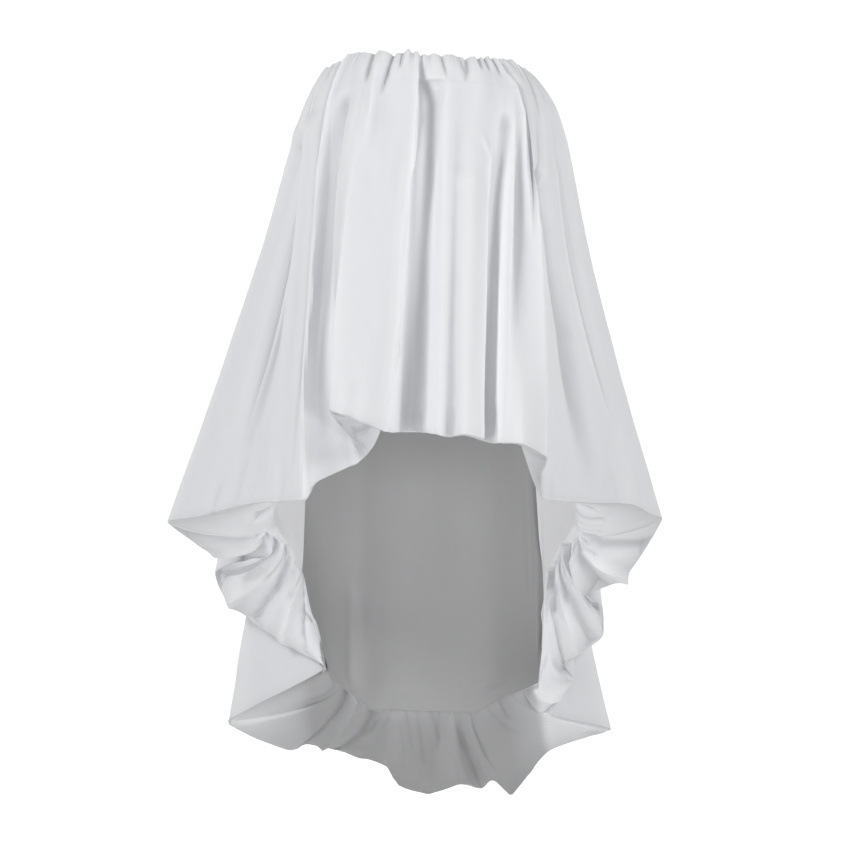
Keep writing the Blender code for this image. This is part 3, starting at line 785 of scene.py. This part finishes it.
def crease_lift(crease, turn, v, arc, all_round=False):
    """How far one crease lifts every point of the sheet, past its ends too where it goes all round."""
    path = np.array(crease.path)
    centres = np.interp(v, path[:, 1], path[:, 0])
    middle = np.array([np.interp(c, turn, row) for c, row in zip(centres, arc)])
    off = arc - middle[:, None]
    if all_round:
        length = arc[:, -1:]
        off = (off + length / 2) % length - length / 2
    off = off / (crease.width * MILLIMETRE)
    start, end = path[0, 1], path[-1, 1]
    fade_in = CREASE_EASE if start > 0 else -start
    fade_out = TAPER * (end - start) if end < 1 else CREASE_EASE
    shown = ease((v - start) / fade_in) * ease((end - v) / max(fade_out, CREASE_EASE / 2))
    profile = np.exp(-np.abs(off) ** crease.sharp)
    if crease.side:
        profile = profile * ease(off * crease.side / EDGE_STEP + 0.5)
    return crease.lift * MILLIMETRE * profile * shown[:, None]


def ironed(points, turn, v):
    """The sheet drawn smooth across at the places of IRONED, where its folds open out only further down."""
    spread = np.arange(-3 * IRON_WIDTH, 3 * IRON_WIDTH + 1)
    weights = np.exp(-((spread / IRON_WIDTH) ** 2) / 2)
    weights /= weights.sum()
    wide = np.concatenate([points[:, -1 - spread[-1] : -1], points, points[:, 1 : 1 + spread[-1]]], axis=1)
    smooth = sum(w * wide[:, i : i + points.shape[1]] for i, w in enumerate(weights))
    share = np.zeros(points.shape[:2])
    for spot in IRONED:
        near = np.exp(-(((turn - spot.turn) / spot.width) ** 4))
        share = np.maximum(share, (1 - ease(v / spot.reach))[:, None] * near)
    share = share[..., None]
    return points * (1 - share) + smooth * share


def unevenness(points):
    """Soft waves that run down the cloth, with finer crinkles on them."""
    out = np.empty(points.shape[:2])
    for r, row in enumerate(points):
        for c, (x, y, z) in enumerate(row):
            wave = noise.noise(Vector((x * 26, y * 26, z * 5)))
            crinkle = noise.noise(Vector((x * 70 + 9, y * 70, z * 30)))
            out[r, c] = WAVE_DEPTH * wave + CRINKLE_DEPTH * crinkle
    return out


def shell_columns(start, end, count):
    """Columns between two fold lines, spread by both the hem and the turn."""
    fine = np.linspace(U[start], U[end], 2000)
    turn, _, hem, _ = lines_at(fine)
    by_hem = np.concatenate([[0.0], np.cumsum(np.linalg.norm(np.diff(hem, axis=0), axis=1))])
    turned = np.maximum.accumulate(turn)
    share = 0.5 * by_hem / by_hem[-1] + 0.5 * (turned - turned[0]) / (turned[-1] - turned[0])
    return np.interp(np.linspace(0.0, 1.0, count), share, fine)


names = [f.name for f in FOLDS]
side_seam = names.index("right_seam")
front_u = shell_columns(0, side_seam, FRONT_COLUMNS)
back_u = shell_columns(side_seam, len(FOLDS) - 1, BACK_COLUMNS)
u = np.concatenate([front_u, back_u[1:]])
v = np.concatenate([dense_ends(OUTER_ROWS, 0.6), 1 + dense_ends(FACING_ROWS, 0.4)[1:]])
base, turn = shell_base(u, v)
base = ironed(base, turn, v)
turn = np.maximum.accumulate(turn) + np.arange(len(turn)) * 1e-7
normals = outward(base)
normals[:, [0, -1]] = unit(normals[:, :1] + normals[:, -1:])
arc = run_along(base, 1)

lift = unevenness(base) * ease(v / TOP_FADE)[:, None] * ease((2 - v) / SEAM_FADE)[:, None]
for crease in (*CREASES, *TURNED_UP_CREASES, *gathers, *seam_gathers, *hem_ripples):
    lift += crease_lift(crease, turn, v, arc, all_round=True)
lift *= ease((2.0 - v) / SEAM_EASE)[:, None]
below_casing = ease((v - CASING_LINE) / CASING_STEP_OVER) * ease((CASING_STEP_END - v) / CASING_STEP_FADE)
lift -= CASING_STEP * below_casing[:, None] * np.exp(-(((turn - CASING_TURN) / CASING_SPREAD) ** 4))


def ruffle_at(degrees):
    a = math.radians(degrees)
    return noise.noise(Vector((math.sin(a) * 9, math.cos(a) * 9, 3.0)))


frill = np.interp(turn, *zip(*FRILL)) * MILLIMETRE
ragged = np.array([noise.noise(Vector((t * 0.9, 2.0, 0.0))) for t in turn])
ruffle = np.array([ruffle_at(t) for t in turn])
past = np.maximum(turn - FRILL_BACK_FROM, -FRILL_BACK_FROM - turn)
guessed = np.clip(past / FRILL_BACK_OVER, 0.0, 1.0)
frill = (frill + FRILL_RAGGED * ragged) * (1 - guessed)
frill += (FRILL_BACK_LIFT + FRILL_BACK_RUFFLE * ruffle) * guessed
points = base + normals * lift[..., None]
points[..., 2] += frill * np.exp(-((v / FRILL_REACH) ** 2))[:, None]
print("rows", len(v), "columns", len(u), "lift from", round(lift.min(), 4), "to", round(lift.max(), 4))

# %% [markdown]
# The top edge is folded over the elastic, so the sheet gets a few more rows that roll inwards and end inside
# the neckline. Marks for the material, which paint shade, highlights and glow onto the cloth, are worked out
# for the whole sheet, and the two panels are then cut out of it along the side seams.

# %% Front and back panels
EDGE_ROLL = 0.0011
EDGE_INSIDE = 0.004
CLOTH_WALL = 0.0006
BEND_FULL = 3.0
BEND_LEAST = 0.0015
BEND_GAPS = ((1, 1), (1, 3), (1, 8), (0, 2))
PaintedGlowSpot = namedtuple("PaintedGlowSpot", "turn width start amount")
# Painted glow in the recesses between the front pleats, standing in for light that a single layer of cloth
# lets through
PAINTED_GLOW_SPOTS = (
    PaintedGlowSpot(1.5, 5.5, 0, 1.2),
    PaintedGlowSpot(41, 4.5, 0.05, 1.8),
    PaintedGlowSpot(-41, 4, -0.05, 0.7),
)
LIT_OVER = 0.3
PAINTED_GLOW_OVER = 0.6
# Painted shade: the cloth is painted a little darker just inside the pressed hem, where the fold shades it,
# and fades from there
PRESSED_SHADE = 0.95
PRESSED_AT = 0.025
HEM_SHADE = 0.6
HEM_SHADE_REACH = 0.3
# Where the turned-up cloth of the back is painted grey as shade, since it lies deep inside: x and how grey,
# then the degrees round
GREY_ACROSS = (
    (-0.28, 0.0), (-0.234, 0.33), (-0.205, 0.56), (-0.18, 0.75), (-0.163, 1.0),
    (0.09, 1.0), (0.137, 0.7), (0.148, 0.0),
)
GREY_SLANT = 0.17
GREY_TURNS = (131, 234)
GREY_OVER = (3, 2)
FOLD_OVER = 0.02


def top_roll(points, turn):
    """Rows over the top edge, from the inside to the outside."""
    rows = []
    out, up = away(turn), np.array([0.0, 0.0, 1.0])
    for share in (1.0, 0.75, 0.5, 0.25):
        a = math.pi * share
        rows.append(points[0] - out * EDGE_ROLL * (1 - math.cos(a)) + up * EDGE_ROLL * math.sin(a))
    rows.insert(0, rows[0] - up * EDGE_INSIDE)
    return np.concatenate([np.array(rows), points])


def bend(points):
    """How sharply the cloth bends across and along, 1 on a crisp ridge and -1 in a crisp hollow."""
    out = outward(points)
    total = np.zeros(points.shape[:2])
    for axis, gap in BEND_GAPS:
        before, after = np.roll(points, gap, axis), np.roll(points, -gap, axis)
        apart = np.linalg.norm(after - before, axis=-1) / 2
        rise = ((points - (before + after) / 2) * out).sum(axis=-1)
        bent = rise / np.maximum(apart, BEND_LEAST) * BEND_FULL
        edge = np.zeros(points.shape[:2])
        inner = [slice(None), slice(None)]
        inner[axis] = slice(gap, -gap)
        edge[tuple(inner)] = bent[tuple(inner)]
        total += np.clip(edge, -1.0, 1.0) / 2
    return np.clip(total, -1.0, 1.0)


def flat_grid(name, rows, columns):
    """A flat mesh of rows and columns, and the row and the column of each of its points."""
    mesh = bmesh.new()
    bmesh.ops.create_grid(mesh, x_segments=columns - 1, y_segments=rows - 1, size=0.5)
    bmesh.ops.reverse_faces(mesh, faces=mesh.faces[:])
    data = bpy.data.meshes.new(name)
    mesh.to_mesh(data)
    mesh.free()
    start = np.empty(len(data.vertices) * 3, dtype=np.float32)
    data.vertices.foreach_get("co", start)
    start = start.reshape(-1, 3)
    column = np.rint((start[:, 0] + 0.5) * (columns - 1)).astype(int)
    row = np.rint((start[:, 1] + 0.5) * (rows - 1)).astype(int)
    return data, row, column


def cloth_piece(name, points, across, along, marks, material, painted_shade_band=0.0):
    """A flat sheet moved point by point to its place, with the flat cloth as its UV map and a thin wall."""
    rows, columns = points.shape[:2]
    data, row, column = flat_grid(name, rows, columns)
    data.vertices.foreach_set("co", points[row, column].astype(np.float32).ravel())
    corner = np.empty(len(data.loops), dtype=np.int32)
    data.loops.foreach_get("vertex_index", corner)
    flat = np.stack([across[row, column], along[row, column]], axis=-1)
    data.uv_layers.new(name="cloth").data.foreach_set("uv", flat[corner].astype(np.float32).ravel())
    # Painted shade in hollows and along the given band, and a painted highlight on ridges, both from how
    # sharply the cloth bends
    bent = bend(points)
    for key, amount in {**marks, "painted_shade": np.maximum(-bent, painted_shade_band), "painted_highlight": np.maximum(bent, 0)}.items():
        spot = data.attributes.new(key, "FLOAT", "POINT")
        spot.data.foreach_set("value", amount[row, column].astype(np.float32))
    ends = np.empty(len(data.edges) * 2, dtype=np.int32)
    data.edges.foreach_get("vertices", ends)
    ends = ends.reshape(-1, 2)
    rim = np.zeros(len(ends), dtype=bool)
    for place, last in ((row, rows - 1), (column, columns - 1)):
        a, b = place[ends[:, 0]], place[ends[:, 1]]
        rim |= (a == b) & ((a == 0) | (a == last))
    data.attributes.new("sharp_edge", "BOOLEAN", "EDGE").data.foreach_set("value", rim)
    data.materials.append(material)
    data.update()
    piece = add_object(name, data)
    wall = piece.modifiers.new("wall", "SOLIDIFY")
    wall.thickness = CLOTH_WALL
    wall.offset = -1
    return piece


def measure(points):
    """Area of a sheet in square metres."""
    down, over = np.diff(points, axis=0)[:, :-1], np.diff(points, axis=1)[:-1]
    return float(np.linalg.norm(np.cross(down, over), axis=-1).sum())


sheet_points = top_roll(points, turn)
extra = len(sheet_points) - len(points)
sheet_v = np.concatenate([np.full(extra, 0.0), v])
along = run_along(sheet_points, 0)
turned_up = ease((sheet_v - 1.0) / FOLD_OVER)[:, None]
past_hem = np.maximum(sheet_v - 1.0, 0)

first, last = GREY_TURNS
at_back = ease((turn - first) / GREY_OVER[0]) * ease((last - turn) / GREY_OVER[1])
x, y = sheet_points[..., 0], sheet_points[..., 1]
shade = np.interp(x - GREY_SLANT * y * (x > 0), *zip(*GREY_ACROSS)) * at_back * turned_up

# Painted glow on the turned-up cloth and in the pleat recesses, standing in for light through the cloth
painted_glow = (1 - shade) * turned_up * ease(past_hem / PAINTED_GLOW_OVER)[:, None]
for spot in PAINTED_GLOW_SPOTS:
    near = np.exp(-(((turn - spot.turn) / spot.width) ** 4))
    down = ease((sheet_v - spot.start) / LIT_OVER) * (sheet_v < 1 + FOLD_OVER)
    painted_glow += spot.amount * near * down[:, None]

# Painted shade in a band just inside the hem fold
painted_shade_band = PRESSED_SHADE * np.exp(-(((sheet_v - 1 - PRESSED_AT) / PRESSED_AT) ** 2))
hem_shade = HEM_SHADE * np.exp(-((past_hem / HEM_SHADE_REACH) ** 2)) * (past_hem > 0)
painted_shade_band = np.maximum(painted_shade_band, hem_shade)[:, None] + 0 * painted_glow

shell = {}
for name, low, high in (("front_panel", 0, FRONT_COLUMNS), ("back_panel", FRONT_COLUMNS - 1, len(u))):
    span = slice(low, high)
    part = sheet_points[:, span]
    across = run_along(part, 1)
    across = across - across[:, [across.shape[1] // 2]]
    marks = {"shade": shade[:, span], "painted_glow": painted_glow[:, span]}
    shell[name] = cloth_piece(name, part, across, along[:, span], marks, shell_cloth, painted_shade_band[:, span])
    print(name, "area", round(measure(part), 3), "hem", round(float(np.ptp(across[extra + OUTER_ROWS])), 3))

# %% [markdown]
# The lining is a plain slip. Its back panel is painted grey as shade, since it lies deep inside, and is seen
# through the open front of the hem, where it carries soft upright folds of its own because it hangs loose
# between the neckline and the seam. It is painted a little darker towards its foot as shade, and its front
# panel has a faint painted glow. The casing is a narrow band inside the neckline that the elastic draws up.

# %% Lining panels and the casing
# Soft folds of the lining: degrees round, millimetres off, how wide in millimetres, and from where to where
LINING_FOLDS = (
    (-95, 4, 30, 0.3, 1), (-60, -4, 30, 0.2, 0.9), (-20, 4, 30, 0.3, 1), (25, -4, 30, 0.2, 0.9),
    (70, 4, 30, 0.3, 1), (140, -4, 30, 0.3, 0.8), (152, 5, 35, 0.4, 1), (170, -5, 40, 0.45, 0.95),
    (188, 6, 40, 0.4, 1), (206, -5, 30, 0.5, 1.03), (211, 5, 12, 0.8, 1.03),
)
LINING_ROWS = 110
FRONT_LINING_COLUMNS = 220
BACK_LINING_COLUMNS = 150
LINING_WAVE = 0.003
LINING_GLOW = 2.5
LINING_FOOT_SHADE = 0.75
LINING_FOOT_FROM = 0.78
CASING_COLUMNS = 481
CASING_ROWS = 10
CASING_PLEATS = 88
CASING_SINK = 0.0002
CASING_PUCKER = 0.0014


def lining_panel(name, start, end, count, tone):
    turn = np.linspace(start, end, count)
    v = np.linspace(0.0, 1.0, LINING_ROWS)
    base = lining_base(turn, v)
    arc = run_along(base, 1)
    lift = np.zeros(base.shape[:2])
    for at, height, width, top, foot in LINING_FOLDS:
        fold = Crease("lining_fold", height, width, 2, ((at, top), (at, foot)))
        lift += crease_lift(fold, turn, v, arc)
    for r, row in enumerate(base):
        for c, (x, y, z) in enumerate(row):
            lift[r, c] += LINING_WAVE * noise.noise(Vector((x * 14, y * 14, z * 4)))
    lift *= (ease(v / 0.08) * ease((1 - v) / 0.04))[:, None]
    points = base + outward(base) * lift[..., None]
    along = run_along(points, 0)
    # The back lining is painted grey as shade, and the front lining gets a painted glow
    marks = {"shade": tone + 0 * arc, "painted_glow": (1 - tone) * LINING_GLOW + 0 * arc}
    down = ease((v - LINING_FOOT_FROM) / (1 - LINING_FOOT_FROM))[:, None] + 0 * arc
    piece = cloth_piece(name, points, arc, along, marks, lining_cloth, LINING_FOOT_SHADE * tone * down)
    print(name, "area", round(measure(points), 3))
    return piece


left, right = LINING_SEAMS
lining_front = lining_panel("front_lining", left, right, FRONT_LINING_COLUMNS, 0.0)
lining_back = lining_panel("back_lining", right, 360 + left, BACK_LINING_COLUMNS, 1.0)

casing_turn = np.linspace(0.0, 360.0, CASING_COLUMNS)
angle = np.radians(casing_turn)
pucker = CASING_SINK + CASING_PUCKER * (0.5 + 0.5 * np.cos(angle * CASING_PLEATS + 3 * np.sin(angle * 5)))
casing_points = []
for t in np.linspace(0.0, 1.0, CASING_ROWS):
    ring = neck_points(casing_turn, SHELL_WALL + SEAM_GAP, -t * CASING_HEIGHT)
    casing_points.append(ring - away(casing_turn) * pucker[:, None] * math.sin(math.pi * t) ** 0.5)
casing_points = np.array(casing_points)
across, along = run_along(casing_points, 1), run_along(casing_points, 0)
plain = {"shade": 0 * across, "painted_glow": 0 * across}
casing = cloth_piece("elastic_casing", casing_points, across, along, plain, shell_cloth)
print("casing area", round(measure(casing_points), 3))

# %% [markdown]
# A row of small stitches holds the folded top edge down over the elastic. Each one is a short, flat bead of
# thread that lies across the cloth, and the gathers hide most of them.

# %% Stitches along the casing
STITCH_AT = 0.079
STITCH_LENGTH = 0.0024
STITCH_GAP = 0.0011
STITCH_HALF = 0.00025
STITCH_SINK = 0.00005

seam_row = int(np.argmin(np.abs(sheet_v - STITCH_AT)))
line = sheet_points[seam_row]
line_out = outward(sheet_points)[seam_row]
run = run_along(line[None], 1)[0]


def along_line(values, place):
    """Point or direction at a place along the stitched line."""
    return np.array([np.interp(place, run, values[:, k]) for k in range(3)])


stitches = bmesh.new()
centre = STITCH_GAP
while centre < run[-1] - STITCH_GAP:
    start, end = (along_line(line, centre + side * STITCH_LENGTH / 2) for side in (-1, 1))
    out = unit(along_line(line_out, centre))
    ahead = unit(end - start)
    up = np.cross(ahead, out)
    middle = (start + end) / 2 + out * (STITCH_HALF - STITCH_SINK)
    bead = bmesh.ops.create_icosphere(stitches, subdivisions=1, radius=1.0)
    for point in bead["verts"]:
        x, y, z = point.co
        point.co = middle + ahead * x * STITCH_LENGTH / 2 + up * y * STITCH_HALF + out * z * STITCH_HALF
    centre += STITCH_LENGTH + STITCH_GAP
data = bpy.data.meshes.new("casing_stitches")
stitches.to_mesh(data)
stitches.free()
data.shade_smooth()
data.materials.append(thread.material)
casing_stitches = add_object("casing_stitches", data)
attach(casing_stitches, "root")
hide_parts("neck_casing")
print("stitches", len(data.vertices) // 12)

# %% [markdown]
# Each piece is parented to the root here, and the solid of the imported model that it stands for is hidden.
# The table also lists the finish slot, the flat cut of its cloth and what it rides on.

# %% Tie the pieces to the imported model
Cut = namedtuple("Cut", "piece node slot flat held area hangs_from")
# flat    width and length of the cut, in metres
# area    flat area in square metres
CUTS = (
    Cut(shell["front_panel"], "shell_front", "shell", (1.18, 0.66), "gathered", 0.50, "elastic_casing"),
    Cut(shell["back_panel"], "shell_back", "shell", (2.20, 1.25), "gathered", 1.00, "elastic_casing"),
    Cut(lining_front, "lining_front", "lining_front", (0.80, 0.64), "hung", 0.32, "elastic_casing"),
    Cut(lining_back, "lining_back", "lining_back", (0.46, 0.88), "hung", 0.30, "elastic_casing"),
    Cut(casing, "neck_casing", "casing", (0.79, 0.028), "stretched", 0.022, "front_panel"),
)
for cut in CUTS:
    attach(cut.piece, "root")
    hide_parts(cut.node)

low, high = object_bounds()
print("scene reaches from", [round(c, 3) for c in low], "to", [round(c, 3) for c in high])
